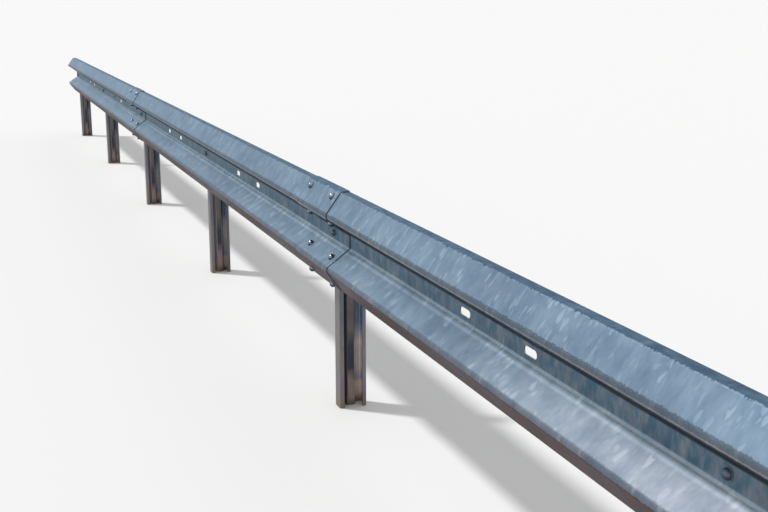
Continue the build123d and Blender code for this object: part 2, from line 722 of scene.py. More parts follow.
    def crystals(self, surface: Surface) -> Socket:
        """Scatters sharp crystals over the sheet, and softer ones over the lower flank.

        Args:
            surface: The surface's values.

        Returns:
            The crystals' strength.
        """
        graph, slope = surface.graph, surface.normal["Z"]
        sharp = graph.add(surface.leaves(self.large_leaves), surface.leaves(self.small_leaves))
        lower = graph.product(graph.step(slope, self.soft_from), graph.step(slope, self.soft_to))
        change = graph.subtract(surface.leaves(self.soft_leaves), sharp)
        return graph.add(sharp, graph.product(change, lower, self.soft_strength))

    def face_color(self, zones: BeamZones) -> Socket:
        """Picks the zinc's colour by how and where a face lies, with reflections, shade and highlights
        painted in.

        Args:
            zones: The parts of the W.

        Returns:
            The colour before its spangle.
        """
        surface, graph = zones.surface, zones.graph
        slope = zones.ragged_slope()
        # Painted reflections and shade, picked by slope on each half of the W
        upper = self.by_slope(graph, slope, self.upper_crest, self.upper_under)
        lower = self.by_slope(graph, slope, self.lower_crest, self.lower_under)
        color = graph.mix(zones.above, lower, upper)
        # Painted reflection: each crest's band, spread over its upper edge
        color = graph.mix(zones.painted_band(zones.above, zones.upper_band), color, self.upper_crest)
        color = graph.mix(zones.painted_band(zones.below, zones.lower_band), color, self.lower_crest)
        # Painted reflection on the lips and the band below them
        lip = self.patch_tint.over(graph, self.lip, surface.cloud(self.patches))
        color = graph.mix(zones.lips(), color, lip)
        valley = self.stain_tint.over(graph, self.valley, surface.cloud(self.stains))
        color = graph.mix(zones.valley(), color, valley)
        # Painted shade in the bend above the valley
        color = graph.mix(graph.product(zones.shade(), self.shade_strength), color, self.painted_shade)
        # Painted light in the bend below the valley, against its shade
        color = graph.mix(zones.bend(), color, self.bend)
        # Painted light at the lower flank's top, against the upper crest's shadow
        color = graph.tinted(color, graph.mix(zones.shadow_lift(), self.plain_tint, self.lift_tint))
        # Painted highlight: the sun's glare on the lower flank towards the +X end
        color = graph.mix(graph.product(zones.glare(), self.glare_strength), color, self.glare)
        # Painted highlight along the lower bend
        color = graph.mix(graph.product(zones.line(), self.highlight_strength), color, self.rim)
        return graph.mix(zones.back(), color, self.back)

    def by_slope(self, graph: Graph, slope: Socket, crest: Color, under: Color) -> Socket:
        """Adds a colour ramp over the slope, whose ends are a slope of -1 and of 1, to paint reflections and
        shade by slope.

        Args:
            graph: The material's graph.
            slope: The slope.
            crest: Colour of the crest's band, a painted reflection.
            under: Colour of the face under the crest, a painted reflection of the ground.

        Returns:
            The colour's socket.
        """
        # Painted shade on the overhang, painted reflections of the ground under the crests and on their
        # bands, of the sky on the flanks, and on the lips
        return graph.colors(graph.add(graph.product(slope, 0.5), 0.5), (
            (0.130, self.painted_shade), (0.170, under), (0.320, under), (0.400, crest), (0.710, crest),
            (0.765, self.upper_flank), (0.840, self.upper_flank),
            (0.870, self.lower_flank), (0.970, self.lower_flank), (0.990, self.lip),
        ))


@dataclass
class PostZones(Zones):
    """The parts of a post.

    Attributes:
        fold_turn: The normal's part along X on the web's fold.
        fold_open: Place from the post's middle, on the fold's open side.
        fold_closed: The same on its closed side.
        rear: Place along Y behind the fold.
        open_turn: The normal's part along X on faces towards the open side.
        road_turn: The normal's part along Y on faces towards the road.
        within: Place from the post's middle, inside the lips' edges.
        gap_rear: Place along Y of the gap's rear.
        gap_front: Place along Y of the gap's front.
        face_turn: The normal's part along Y on the flange's road side.
        face_depth: Place along Y of that side.
        far_run: Place along X from where the posts are the far ones, towards the -X end.
        inside: The point's own place from the post's middle.
        open_faces: Share of the faces inside the channel that show.
        far_posts: Share of the far posts.
    """

    fold_turn: Span = (0.25, 0.60)
    fold_open: Span = (0.015, 0.012)
    fold_closed: Span = (-0.030, -0.022)
    rear: Span = (0.010, 0.013)
    open_turn: Span = (0.20, 0.40)
    road_turn: Span = (-0.60, -0.80)
    within: Span = (0.0240, 0.0225)
    gap_rear: Span = (-0.010, -0.013)
    gap_front: Span = (-0.043, -0.041)
    face_turn: Span = (-0.70, -0.90)
    face_depth: Span = (-0.042, -0.046)
    far_run: Span = (1.5, 0.5)
    inside: Socket = field(init=False)
    open_faces: Socket = field(init=False)
    far_posts: Socket = field(init=False)

    def __post_init__(self) -> None:
        """Works out where a point lies on its post."""
        graph = self.graph
        # Whole bays are added first, because the remainder of a negative number would be negative
        moved = graph.add(self.surface.spot["X"], 50 * BAY + BAY / 2)
        self.inside = graph.subtract(graph.math("MODULO", moved, BAY), BAY / 2)
        shown = graph.math("MAXIMUM", self.facing("X", self.open_turn), self.facing("Y", self.road_turn))
        self.open_faces = graph.product(shown, graph.step(self.inside, self.within))
        self.far_posts = self.placed("X", self.far_run)

    def fold(self) -> Socket:
        """Returns the web's fold.

        Returns:
            The fold's share.
        """
        open_side = self.graph.step(self.inside, self.fold_open)
        closed_side = self.graph.step(self.inside, self.fold_closed)
        return self.graph.product(self.facing("X", self.fold_turn), open_side, closed_side)

    def behind(self) -> Socket:
        """Returns all that lies behind the fold."""
        return self.placed("Y", self.rear)

    def recess(self) -> Socket:
        """Returns the recess behind the fold."""
        return self.graph.product(self.behind(), self.open_faces)

    def gap(self) -> Socket:
        """Returns the gap between the front lip and the fold."""
        deep = self.graph.product(self.placed("Y", self.gap_rear), self.placed("Y", self.gap_front))
        return self.graph.product(deep, self.open_faces)

    def face(self) -> Socket:
        """Returns the flange's face on the road side."""
        return self.graph.product(self.facing("Y", self.face_turn), self.placed("Y", self.face_depth))


@dataclass(frozen=True)
class PostFinish:
    """The posts' duller zinc: painted reflections in bands up each face, painted light in the recess and gap,
    and dust at the foot.

    Attributes:
        name: The material's name.
        height: Height that the bands' places are shares of.
        fold: Colours of the web's fold, each with its place: painted reflections of the ground and its
            shadow, with painted shade at the foot.
        recess: Colours of the recess behind the fold, each with its place: painted light against its shade,
            in bands of painted reflection, darker at the foot.
        lip: Colours of the lips, each with its place: painted reflections of the ground and its shadow.
        gap: Colour inside the gap between the front lip and the fold, on the near posts.
        far_gap: The same on the far posts, painted light against the gap's shade.
        front: Colour of the flange's face on the road side.
        dust: Colour of the dust near the ground.
        near_tint: Tint behind the fold on the near posts, which brightens it.
        far_tint: The same on the far posts, which darkens it.
        edge: Tint at a grazing angle.
        metallic: Share of the metal reflection.
        roughness: Middle roughness.
        streaks: Noise that runs up the posts.
        drift: Noise that moves the bands' borders.
        streak_drift: How far the streaks move them.
        flakes: The crystals.
        mottle: Blotches under the crystals.
        flake_tone: How much the crystals lighten the zinc.
        tone: Tint of blotches and crystals together.
        dust_height: Height of the dust.
        dust_drift: How far the streaks move its border.
        dust_strength: Strength of the dust's colour.
        flake_roughness: How much the crystals roughen the zinc.
        dust_roughness: How much the dust does.
        relief: Strength and depth of the relief.
    """

    name: str = "galvanised_post"
    height: float = 0.70
    fold: Stops = (
        (0.000, srgb(60, 60, 66)), (0.035, srgb(132, 121, 116)), (0.130, srgb(132, 118, 112)),
        (0.190, srgb(58, 62, 71)), (0.310, srgb(62, 67, 75)), (0.400, srgb(104, 99, 97)),
        (1.000, srgb(106, 103, 104)),
    )
    recess: Stops = (
        (0.000, srgb(110, 112, 118)), (0.030, srgb(212, 196, 186)), (0.100, srgb(214, 196, 188)),
        (0.130, srgb(160, 164, 178)), (0.190, srgb(200, 190, 190)), (0.310, srgb(212, 202, 201)),
        (0.420, srgb(132, 146, 162)), (1.000, srgb(125, 140, 157)),
    )
    lip: Stops = (
        (0.000, srgb(112, 104, 100)), (0.120, srgb(122, 115, 118)), (0.280, srgb(122, 118, 117)),
        (0.440, srgb(106, 109, 117)), (1.000, srgb(108, 111, 118)),
    )
    gap: Color = srgb(112, 110, 116)
    far_gap: Color = srgb(192, 191, 194)
    front: Color = srgb(132, 128, 126)
    dust: Color = srgb(150, 130, 106)
    near_tint: Color = (1.12, 1.12, 1.12)
    far_tint: Color = (0.70, 0.72, 0.74)
    edge: Color = (0.55, 0.58, 0.62)
    metallic: float = 0.50
    roughness: float = 0.44
    streaks: Cloud = Cloud(0.006, 0.30)
    drift: Cloud = Cloud(0.5, 0.10, 2.0, 0.16)
    streak_drift: float = 0.06
    flakes: Leaves = Leaves(0.008, 0.014, 0.45, 0.22)
    mottle: Cloud = Cloud(0.012, 0.05, 3.0)
    flake_tone: float = 0.30
    tone: Tint = Tint((-0.25, 0.40), (0.86, 0.87, 0.90), (1.16, 1.14, 1.12))
    dust_height: Span = (0.045, 0.012)
    dust_drift: float = 0.05
    dust_strength: float = 0.35
    flake_roughness: float = 0.12
    dust_roughness: float = 0.25
    relief: Relief = Relief(0.10, 0.0006)

    def material(self) -> bpy.types.Material:
        """Builds the material.

        Returns:
            The new material.
        """
        zinc = Zinc(self.name, self.metallic, self.edge)
        surface, graph = zinc.surface, zinc.surface.graph
        streaks = surface.cloud(self.streaks)
        drift = graph.add(surface.cloud(self.drift), graph.product(streaks, self.streak_drift))
        rise = graph.add(graph.divide(surface.spot["Z"], self.height), drift)
        flakes = surface.leaves(self.flakes)
        mottle = graph.add(surface.cloud(self.mottle), graph.product(flakes, self.flake_tone))
        dust_top = graph.add(surface.spot["Z"], graph.product(streaks, self.dust_drift))
        dusty = graph.step(dust_top, self.dust_height)
        color = self.tone.over(graph, self.face_color(PostZones(surface), rise), mottle)
        color = graph.mix(graph.product(dusty, self.dust_strength), color, self.dust)
        rough = graph.add(graph.product(flakes, self.flake_roughness), self.roughness)
        rough = graph.add(rough, graph.product(dusty, self.dust_roughness))
        return zinc.finished(color, rough, mottle, self.relief)

    def face_color(self, zones: PostZones, rise: Socket) -> Socket:
        """Picks the zinc's colour by where a face lies.

        Args:
            zones: The parts of the post.
            rise: Place up the bands, from 0 to 1.

        Returns:
            The colour before its mottle.
        """
        graph = zones.graph
        # Painted reflections of the ground and its shadow, in bands up the faces
        color = graph.colors(rise, self.lip)
        color = graph.mix(zones.fold(), color, graph.colors(rise, self.fold))
        # Painted light against the recess's shade
        color = graph.mix(zones.recess(), color, graph.colors(rise, self.recess))
        # Brighter behind the fold on the near posts and darker on the far ones
        behind_tinted = graph.tinted(color, graph.mix(zones.far_posts, self.near_tint, self.far_tint))
        color = graph.mix(zones.behind(), color, behind_tinted)
        # Painted light in the gap, paler on the far posts
        color = graph.mix(zones.gap(), color, graph.mix(zones.far_posts, self.gap, self.far_gap))
        return graph.mix(zones.face(), color, self.front)


@dataclass(frozen=True)
class BoltFinish:
    """Zinc-plated fasteners, bright or dull, with the dark ground's reflection painted under each head, and a
    collar of its own colour.

    Attributes:
        name: The material's name.
        pale: Colour of the clean plating.
        deep: Colour of the duller patches.
        collar: Colour of a head's thin collar, which lies on the sheet.
        ground_reflection: Colour of the painted reflection of the dark ground on a head's underside.
        metallic: Share of the metal reflection.
        roughness: Middle roughness.
        edge: Tint at a grazing angle.
        patches: Noise between the pale plating and the deep.
        patch_span: Its values at the deep end and at the pale one.
        patch_roughness: How much it roughens the plating.
        ground_reflection_slope: Upward part of the normal where the painted reflection begins and from where
            it is whole.
        ground_reflection_strength: Strength of the painted reflection.
        collar_climb: Places along a head's profile where its collar ends.
        relief: Strength and depth of the relief.
    """

    name: str
    pale: Color
    deep: Color
    collar: Color
    ground_reflection: Color
    metallic: float
    roughness: float
    edge: Color = (0.8, 0.85, 0.9)
    patches: Cloud = Cloud(0.012, 0.012)
    patch_span: Span = (-0.15, 0.15)
    patch_roughness: float = 0.15
    ground_reflection_slope: Span = (0.30, -0.30)
    ground_reflection_strength: float = 0.85
    collar_climb: Span = (0.20, 0.15)
    relief: Relief = Relief(0.03, 0.0002)

    def material(self) -> bpy.types.Material:
        """Builds the material.

        Returns:
            The new material.
        """
        zinc = Zinc(self.name, self.metallic, self.edge)
        surface, graph = zinc.surface, zinc.surface.graph
        patches = surface.cloud(self.patches)
        color = graph.mix(graph.ramp(patches, self.patch_span), self.deep, self.pale)
        # Painted reflection of the dark ground on the heads' undersides
        under = graph.product(graph.step(surface.normal["Z"], self.ground_reflection_slope), self.ground_reflection_strength)
        color = graph.mix(under, color, self.ground_reflection)
        climb = graph.node("ShaderNodeAttribute", attribute_name="climb").outputs["Fac"]
        color = graph.mix(graph.step(climb, self.collar_climb), color, self.collar)
        rough = graph.add(graph.product(patches, self.patch_roughness), self.roughness)
        return zinc.finished(color, rough, patches, self.relief)


class Turned(Enum):
    """The shapes that are turned about an axis and repeated over the rail."""

    DOME = "domed head"
    WASHER = "washer"
    NUT = "hexagon nut"
    THREAD = "thread end"


@dataclass(frozen=True)
class TurnedSize:
    """Sizes of one turned shape, in metres.

    Attributes:
        radius: Outer radius, or half the width across flats of a nut.
        inner: Radius of a ring's hole, a thread's root or the dome on a head's collar.
        height: Height above its seat.
        step: Height of one turn of a thread, or of a head's collar.
    """

    radius: float
    inner: float
    height: float
    step: float = 0.002


@dataclass(frozen=True)
class Seat:
    """A place where a fastener sits.

    Attributes:
        point: The point on the sheet.
        out: The way out of the sheet.
    """

    point: Vector
    out: Vector


@dataclass(frozen=True)
class Profile:
    """The shapes' profiles, each as the reach from the axis and the rise above the seat.

    Attributes:
        graph: The geometry graph.
        given: The tree's inputs.
        angle: A point's angle about the axis.
        along: Its place along the profile, from 0 to 1.
        head_part: Share of a head's profile for its underside, its collar's edge and top, each.
        squareness: How square a ring's edges are.
        corner: A nut's radius at its corners, for a radius of 1 across its flats.
        thread_end: Share of a thread's profile up to where it has its full height.
        tip: Share over which its tip closes.
        foot: Share over which its foot closes.
        chamfer_run: Shares between which it narrows towards the tip.
        chamfer: How much it narrows.
    """

    graph: Graph
    given: Any
    angle: Socket
    along: Socket
    head_part: float = 0.05
    squareness: float = 1.35
    corner: float = 1.145
    thread_end: float = 0.94
    tip: float = 0.06
    foot: float = 0.02
    chamfer_run: Span = (0.80, 0.94)
    chamfer: float = 0.16

    def dome(self) -> tuple[Socket, Socket]:
        """Draws a domed head: a flat underside, a thin collar's edge and top, then the dome.

        Returns:
            The reach and the rise.
        """
        graph, given, part = self.graph, self.given, self.head_part
        under, edge, top = (graph.ramp(self.along, (start, start + part)) for start in (0.0, part, 2 * part))
        climb = graph.product(graph.ramp(self.along, (3 * part, 1.0)), math.pi / 2)
        collar = graph.product(given["Radius"], under)
        inward = graph.product(graph.subtract(given["Inner"], given["Radius"]), top)
        reach = graph.product(graph.add(collar, inward), graph.math("COSINE", climb))
        dome = graph.product(graph.subtract(given["Height"], given["Step"]), graph.math("SINE", climb))
        return reach, graph.add(graph.product(given["Step"], edge), dome)

    def ring(self, outer: Socket) -> tuple[Socket, Socket]:
        """Draws a ring with broken edges, from its bore out to a radius and back.

        Args:
            outer: The outer radius.

        Returns:
            The reach and the rise.
        """
        graph, given = self.graph, self.given
        lap = graph.product(self.along, math.tau)
        wide, high = (self.squared(graph.math(wave, lap)) for wave in ("COSINE", "SINE"))
        reach = graph.add(given["Inner"], graph.product(graph.subtract(outer, given["Inner"]), wide))
        return reach, graph.product(given["Height"], high)

    def squared(self, wave: Socket) -> Socket:
        """Returns a wave as a share from 0 to 1 that stays longer at both ends."""
        held = self.graph.clamp(self.graph.product(wave, self.squareness), -1.0, 1.0)
        return self.graph.product(self.graph.add(held, 1.0), 0.5)

    def washer(self) -> tuple[Socket, Socket]:
        """Draws a washer."""
        return self.ring(self.given["Radius"])

    def nut(self) -> tuple[Socket, Socket]:
        """Draws a nut: a ring that its six flats cut back, which leaves chamfered corners.

        Returns:
            The reach and the rise.
        """
        graph, radius = self.graph, self.given["Radius"]
        reach, rise = self.ring(graph.product(radius, self.corner))
        sixth = graph.math("MODULO", graph.add(self.angle, math.tau), math.tau / 6)
        flat = graph.divide(radius, graph.math("COSINE", graph.subtract(sixth, math.tau / 12)))
        return graph.math("MINIMUM", reach, flat), rise

    def thread(self) -> tuple[Socket, Socket]:
        """Draws a thread's end: a helix between root and crest, with a chamfered, closed tip.

        Returns:
            The reach and the rise.
        """
        graph, given = self.graph, self.given
        rise = graph.product(given["Height"], self.share_of(self.along, self.thread_end))
        turns = graph.subtract(graph.divide(rise, given["Step"]), graph.divide(self.angle, math.tau))
        tooth = graph.product(graph.math("PINGPONG", turns, 0.5), 2.0)
        crest = graph.subtract(given["Radius"], given["Inner"])
        reach = graph.add(given["Inner"], graph.product(crest, tooth))
        narrowed = graph.subtract(1.0, graph.product(graph.step(self.along, self.chamfer_run), self.chamfer))
        tip = self.share_of(graph.subtract(1.0, self.along), self.tip)
        closing = graph.product(tip, self.share_of(self.along, self.foot))
        return graph.product(reach, narrowed, closing), rise

    def share_of(self, value: Socket, whole: float) -> Socket:
        """Returns a value as a share of a whole, from 0 to 1."""
        return self.graph.clamp(self.graph.divide(value, whole), 0.0, 1.0)


@dataclass
class TurnedSet:
    """A turned shape made by Geometry Nodes and repeated on a list of seats.

    Attributes:
        name: The piece's name.
        shape: Which shape it is.
        size: Its sizes.
        seats: Where the copies sit.
        material: Its material.
        slot: The record's material slot; not used.
        around: Number of sides of the turned mesh.
        rings: Number of steps along its profile.
        seed: Seed of each copy's turn about its own axis.
        weld: Distance within which points are joined.
        sharp_angle: Angle from which an edge is shaded sharp, in radians.
    """

    name: str
    shape: Turned
    size: TurnedSize
    seats: Sequence[Seat]
    material: bpy.types.Material
    slot: str
    around: int
    rings: int
    seed: int
    weld: float = 0.00001
    sharp_angle: float = 0.6

    def build(self) -> bpy.types.Object:
        """Builds the copies as one plain mesh.

        Returns:
            The finished piece, riding on the rail.
        """
        points = bpy.data.meshes.new(f"{self.name}_seats")
        points.from_pydata([seat.point for seat in self.seats], [], [])
        axis = points.attributes.new("out", "FLOAT_VECTOR", "POINT")
        axis.data.foreach_set("vector", [value for seat in self.seats for value in seat.out])
        holder = bpy.data.objects.new(f"{self.name}_holder", points)
        bpy.context.scene.collection.objects.link(holder)
        modifier = holder.modifiers.new("copies", "NODES")
        modifier.node_group = self.tree()
        self.set_inputs(modifier)
        bpy.context.view_layer.update()
        evaluated = holder.evaluated_get(bpy.context.evaluated_depsgraph_get())
        mesh = bpy.data.meshes.new_from_object(evaluated)
        mesh.name = self.name
        piece = bpy.data.objects.new(self.name, mesh)
        bpy.context.scene.collection.objects.link(piece)
        holder.modifiers.remove(modifier)
        bpy.data.objects.remove(holder)
        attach(piece, "root")
        faces = len(mesh.polygons)
        log.info("%s: %d copies of a %s, %d faces", self.name, len(self.seats), self.shape.value, faces)
        return piece

    def set_inputs(self, modifier: bpy.types.NodesModifier) -> None:
        """Sets the tree's inputs, each by its socket's identifier.

        Args:
            modifier: The modifier that holds the tree.
        """
        values = {
            "Radius": self.size.radius, "Inner": self.size.inner, "Height": self.size.height,
            "Step": self.size.step, "Around": self.around, "Rings": self.rings,
            "Seed": self.seed, "Finish": self.material,
        }
        for item in modifier.node_group.interface.items_tree:
            if item.item_type == "SOCKET" and item.in_out == "INPUT" and item.name in values:
                modifier[item.identifier] = values[item.name]

    def tree(self) -> bpy.types.NodeTree:
        """Builds the geometry tree: the turned shape, its copies, and their finish.

        Returns:
            The tree, with named inputs.
        """
        made = bpy.data.node_groups.new(f"{self.shape.value} copies", "GeometryNodeTree")
        made.interface.new_socket("Geometry", in_out="OUTPUT", socket_type="NodeSocketGeometry")
        for name, kind in (
            ("Geometry", "Geometry"), ("Radius", "Float"), ("Inner", "Float"), ("Height", "Float"),
            ("Step", "Float"), ("Around", "Int"), ("Rings", "Int"), ("Seed", "Int"), ("Finish", "Material"),
        ):
            made.interface.new_socket(name, in_out="INPUT", socket_type=f"NodeSocket{kind}")
        graph = Graph(made)
        given = graph.node("NodeGroupInput").outputs
        axis = graph.result("GeometryNodeInputNamedAttribute", {"Name": "out"}, data_type="FLOAT_VECTOR")
        facing = graph.result("FunctionNodeAlignRotationToVector", {"Vector": axis}, axis="Z")
        limits = {2: 0.0, 3: math.tau, "Seed": given["Seed"]}
        spin = graph.node("FunctionNodeRandomValue", limits, data_type="FLOAT").outputs[1]
        turn = graph.result("ShaderNodeCombineXYZ", {"Z": spin})
        turned = graph.result("FunctionNodeRotateRotation", {0: facing, 1: turn}, rotation_space="LOCAL")
        placed = {"Points": given["Geometry"], "Instance": self.turned(graph, given), "Rotation": turned}
        copies = graph.result("GeometryNodeInstanceOnPoints", placed)
        real = graph.result("GeometryNodeRealizeInstances", {"Geometry": copies})
        dressed = graph.result("GeometryNodeSetMaterial", {"Geometry": real, "Material": given["Finish"]})
        graph.node("NodeGroupOutput", {"Geometry": dressed})
        return made

    def turned(self, graph: Graph, given: Any) -> Socket:
        """Turns the shape's profile about the Z axis.

        Args:
            graph: The geometry graph.
            given: The tree's inputs.

        Returns:
            The closed mesh, seated on Z = 0.
        """
        sheet = graph.node("GeometryNodeMeshGrid", {
            "Size X": 1.0, "Size Y": 1.0,
            "Vertices X": graph.add(given["Around"], 1.0), "Vertices Y": graph.add(given["Rings"], 1.0),
        }).outputs["Mesh"]
        spot = graph.node("ShaderNodeSeparateXYZ", {0: graph.result("GeometryNodeInputPosition")}).outputs
        angle = graph.product(graph.add(spot["X"], 0.5), math.tau)
        along = graph.add(spot["Y"], 0.5)
        profile = Profile(graph, given, angle, along)
        drawn = {
            Turned.DOME: profile.dome, Turned.WASHER: profile.washer,
            Turned.NUT: profile.nut, Turned.THREAD: profile.thread,
        }
        reach, rise = drawn[self.shape]()
        place = graph.result("ShaderNodeCombineXYZ", {
            "X": graph.product(reach, graph.math("COSINE", angle)),
            "Y": graph.product(reach, graph.math("SINE", angle)),
            "Z": rise,
        })
        marking = {"Geometry": sheet, "Name": "climb", "Value": along}
        marked = graph.result("GeometryNodeStoreNamedAttribute", marking)
        bent = graph.result("GeometryNodeSetPosition", {"Geometry": marked, "Position": place})
        closed = graph.result("GeometryNodeMergeByDistance", {"Geometry": bent, "Distance": self.weld})
        return self.shaded(graph, closed)

    def shaded(self, graph: Graph, mesh: Socket) -> Socket:
        """Shades a mesh smooth, apart from its sharp edges.

        Args:
            graph: The geometry graph.
            mesh: The mesh.

        Returns:
            The shaded mesh.
        """
        kind = "GeometryNodeSetShadeSmooth"
        smooth = graph.result(kind, {"Geometry": mesh, "Shade Smooth": True}, domain="FACE")
        bend = graph.node("GeometryNodeInputMeshEdgeAngle").outputs["Unsigned Angle"]
        sharp = graph.math("GREATER_THAN", bend, self.sharp_angle)
        inputs = {"Geometry": smooth, "Selection": sharp, "Shade Smooth": False}
        return graph.result(kind, inputs, domain="EDGE")


@dataclass
class Rail:
    """The beams and posts of the frame, and the places on them where fasteners sit.

    Attributes:
        beams: Names of the beams, from the -X end on.
        posts: Names of the posts, from the -X end on.
        probe: Distance along X from a hole's middle to the sheet beside it.
        reach: How far off the sheet a probe starts.
        road_side: Place along Y, over the road, where a probe from there starts.
        flange_reach: How far behind a post's front a probe of its flange's inside starts.
        trees: Each node's mesh, for probing.
    """

    beams: list[str]
    posts: list[str]
    probe: float = 0.016
    reach: float = 0.06
    road_side: float = -1.0
    flange_reach: float = 0.018
    trees: dict[str, BVHTree] = field(default_factory=dict)

    def __post_init__(self) -> None:
        """Reads each node's mesh for probing."""
        for name in (*self.beams, *self.posts):
            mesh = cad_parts[name].data
            points = [vertex.co.copy() for vertex in mesh.vertices]
            self.trees[name] = BVHTree.FromPolygons(points, [tuple(face.vertices) for face in mesh.polygons])

    def touch(self, name: str, start: Vector, way: Vector) -> Seat:
        """Finds the sheet next to a hole.

        Args:
            name: The node to probe.
            start: A point off the sheet, on the hole's axis.
            way: The direction to the sheet.

        Returns:
            The point where the hole's axis meets the sheet's face, and the way out of it.
        """
        hits = [self.trees[name].ray_cast(start + Vector((side * self.probe, 0, 0)), way) for side in (-1, 1)]
        point = sum((hit[0] for hit in hits), Vector()) / 2
        normal = sum((hit[1] for hit in hits), Vector()).normalized()
        return Seat(point, normal if normal.dot(way) < 0 else -normal)

    def middle_height(self) -> float:
        """Returns the height of the beams' axis."""
        low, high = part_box(self.beams[-1])
        return (low.z + high.z) / 2

    def splices(self) -> list[tuple[str, str, float]]:
        """Returns each lap as the outer beam, the inner beam and its middle along X."""
        pairs = zip(self.beams, self.beams[1:])
        return [(outer, inner, (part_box(outer)[1].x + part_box(inner)[0].x) / 2) for outer, inner in pairs]

    def post_places(self) -> list[tuple[str, float]]:
        """Returns each post with its place along X."""
        return [(name, (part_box(name)[0].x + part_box(name)[1].x) / 2) for name in self.posts]

    def lap_seats(self, outer: str, inner: str, place: float, row: float) -> tuple[Seat, Seat]:
        """Finds both ends of a splice bolt.

        Args:
            outer: The beam on the road side of the lap.
            inner: The beam behind it.
            place: The bolt's place along X.
            row: The hole's height from the beams' axis, on the inner beam's road side.

        Returns:
            The seat of the head and the seat of the washer.
        """
        start = Vector((place, self.road_side, self.middle_height() + row))
        hole = self.touch(inner, start, ACROSS)
        head = self.touch(outer, hole.point + hole.out * self.reach, -hole.out)
        back = self.touch(inner, hole.point - hole.out * self.reach, hole.out)
        return head, back

    def post_seats(self, post: str, place: float) -> tuple[Seat, Seat]:
        """Finds both ends of a post bolt.

        Args:
            post: The post.
            place: Its place along X.

        Returns:
            The head's seat on the outermost sheet, and the washer's seat inside the flange.
        """
        height = self.middle_height()
        start = Vector((place, self.road_side, height))
        seats = [self.touch(name, start, ACROSS) for name in self.beams if self.covers(name, place)]
        inside = Vector((place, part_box(post)[0].y + self.flange_reach, height))
        return min(seats, key=lambda seat: seat.point.y), self.touch(post, inside, -ACROSS)

    def covers(self, beam: str, place: float) -> bool:
        """Tells whether a beam has sheet on both sides of a place along X."""
        low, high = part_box(beam)
        return low.x < place - self.probe and place + self.probe < high.x

    def dress(self, beam_finish: BeamFinish, post_finish: PostFinish) -> None:
        """Gives the beams and posts their finishes.

        Args:
            beam_finish: The beams' finish.
            post_finish: The posts' finish.
        """
        for names, finish in ((self.beams, beam_finish), (self.posts, post_finish)):
            material = finish.material()
            for name in names:
                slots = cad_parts[name].data.materials
                slots.clear()
                slots.append(material)
                log.info("%s: %s", name, finish.name)


@dataclass(frozen=True)
class BoltSizes:
    """Sizes of the pieces of one kind of bolt.

    Attributes:
        head: The domed head.
        washer: The washer.
        nut: The nut, which sits on the washer.
        thread: The thread's end, which starts at the washer's seat.
    """

    head: TurnedSize
    washer: TurnedSize
    nut: TurnedSize
    thread: TurnedSize


@dataclass
class Bolts:
    """Bolts with domed heads in front and washers, nuts and thread ends behind.

    Attributes:
        rail: The rail that they fasten.
        finish: Their material.
        sizes: Sizes of their pieces.
    """

    rail: Rail
    finish: bpy.types.Material
    sizes: BoltSizes

    def pieces(self, name: str, pairs: Sequence[tuple[Seat, Seat]], seed: int) -> list[bpy.types.Object]:
        """Builds a piece of each shape.

        Args:
            name: First part of the pieces' names.
            pairs: The head's seat and the washer's seat of each bolt.
            seed: Seed of the pieces' turns.

        Returns:
            The four pieces.
        """
        fronts = [front for front, _ in pairs]
        backs = [back for _, back in pairs]
        on_washer = [Seat(seat.point + seat.out * self.sizes.washer.height, seat.out) for seat in backs]
        # Each part ends with its number of sides and of steps along its profile
        parts = (
            ("bolt_heads", Turned.DOME, self.sizes.head, fronts, 32, 20),
            ("washers", Turned.WASHER, self.sizes.washer, backs, 32, 16),
            ("nuts", Turned.NUT, self.sizes.nut, on_washer, 36, 24),
            ("thread_ends", Turned.THREAD, self.sizes.thread, backs, 24, 72),
        )
        made = []
        for part, shape, size, seats, around, rings in parts:
            title = f"{name}_{part}"
            copies = TurnedSet(title, shape, size, seats, self.finish, ZINC_SLOT, around, rings, seed)
            made.append(copies.build())
        return made


@dataclass
class SpliceBolts(Bolts):
    """The eight bright bolts of each lap.

    Attributes:
        sizes: Sizes of their pieces.
        columns: Distance between the two columns of bolts.
        rows: Heights of the four rows from the beams' axis.
    """

    sizes: BoltSizes = BoltSizes(
        head=TurnedSize(0.0134, 0.0108, 0.0112, 0.0010),
        washer=TurnedSize(0.0150, 0.0085, 0.0030),
        nut=TurnedSize(0.0120, 0.0075, 0.0130),
        thread=TurnedSize(0.0080, 0.0070, 0.0240),
    )
    columns: float = 0.220
    rows: tuple[float, ...] = (0.139, 0.057, -0.057, -0.139)

    def build(self) -> list[bpy.types.Object]:
        """Builds the pieces of every lap.

        Returns:
            The pieces.
        """
        made = []
        for number, (outer, inner, middle) in enumerate(self.rail.splices(), 1):
            pairs = [
                self.rail.lap_seats(outer, inner, middle + side * self.columns / 2, row)
                for side in (-1, 1) for row in self.rows
            ]
            made += self.pieces(f"splice_{number}", pairs, seed=number)
        return made


@dataclass
class PostBolts(Bolts):
    """The low, dull bolt at every post, with its nut inside the channel.

    Attributes:
        sizes: Sizes of their pieces.
        seed: Seed of the pieces' turns.
    """

    sizes: BoltSizes = BoltSizes(
        head=TurnedSize(0.0138, 0.0108, 0.0100, 0.0010),
        washer=TurnedSize(0.0145, 0.0085, 0.0025),
        nut=TurnedSize(0.0115, 0.0075, 0.0100),
        thread=TurnedSize(0.0080, 0.0070, 0.0160),
    )
    seed: int = 7

    def build(self) -> list[bpy.types.Object]:
        """Builds the pieces of every post."""
        pairs = [self.rail.post_seats(name, place) for name, place in self.rail.post_places()]
        return self.pieces("post", pairs, self.seed)


